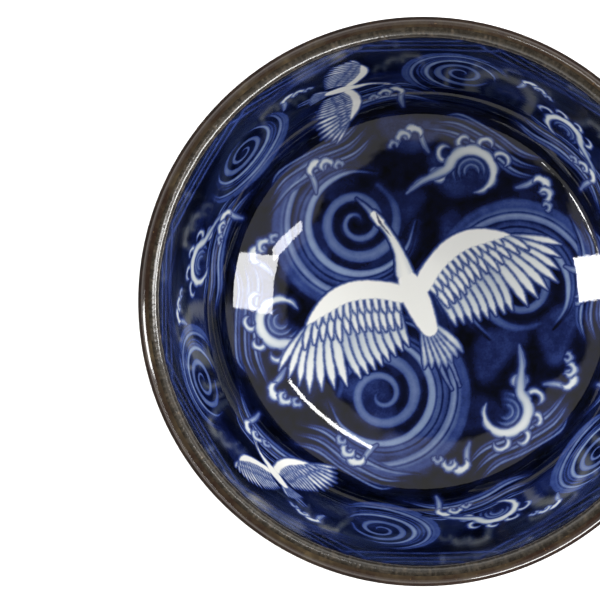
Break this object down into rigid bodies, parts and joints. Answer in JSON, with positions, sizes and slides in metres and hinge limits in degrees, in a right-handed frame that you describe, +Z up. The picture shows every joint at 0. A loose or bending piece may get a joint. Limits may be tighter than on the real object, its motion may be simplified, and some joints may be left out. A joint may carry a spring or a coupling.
{
  "type": "teacup",
  "caption": "Low bowl-shaped handleless teacup on a turned foot ring, blue printed inside, iron-glazed outside with a banded lip.",
  "frame": {"origin": "centre of the foot ring's underside, where the cup stands on the table", "axes": "+Z up along the cup's axis of revolution, through the mouth; +X and +Y span the table, with the large painted bird's outspread wing pointing to -X"},
  "size_m": [0.09, 0.09, 0.0501],
  "materials": {
    "porcelain": "matte",
    "cobalt_print": "matte",
    "clear_glaze": "polished",
    "iron_glaze": "gloss",
    "iron_wash": "satin"
  },
  "bodies": {
    "root": {"porcelain_body": "porcelain", "foot_ring": "porcelain", "well_print": "cobalt_print", "wall_print_1": "cobalt_print", "wall_print_2": "cobalt_print", "wall_print_3": "cobalt_print", "wall_print_4": "cobalt_print", "inner_glaze": "clear_glaze", "outer_glaze": "iron_glaze", "lip_band": "iron_wash", "foot_recess_glaze": "iron_glaze"}
  },
  "joints": []
}
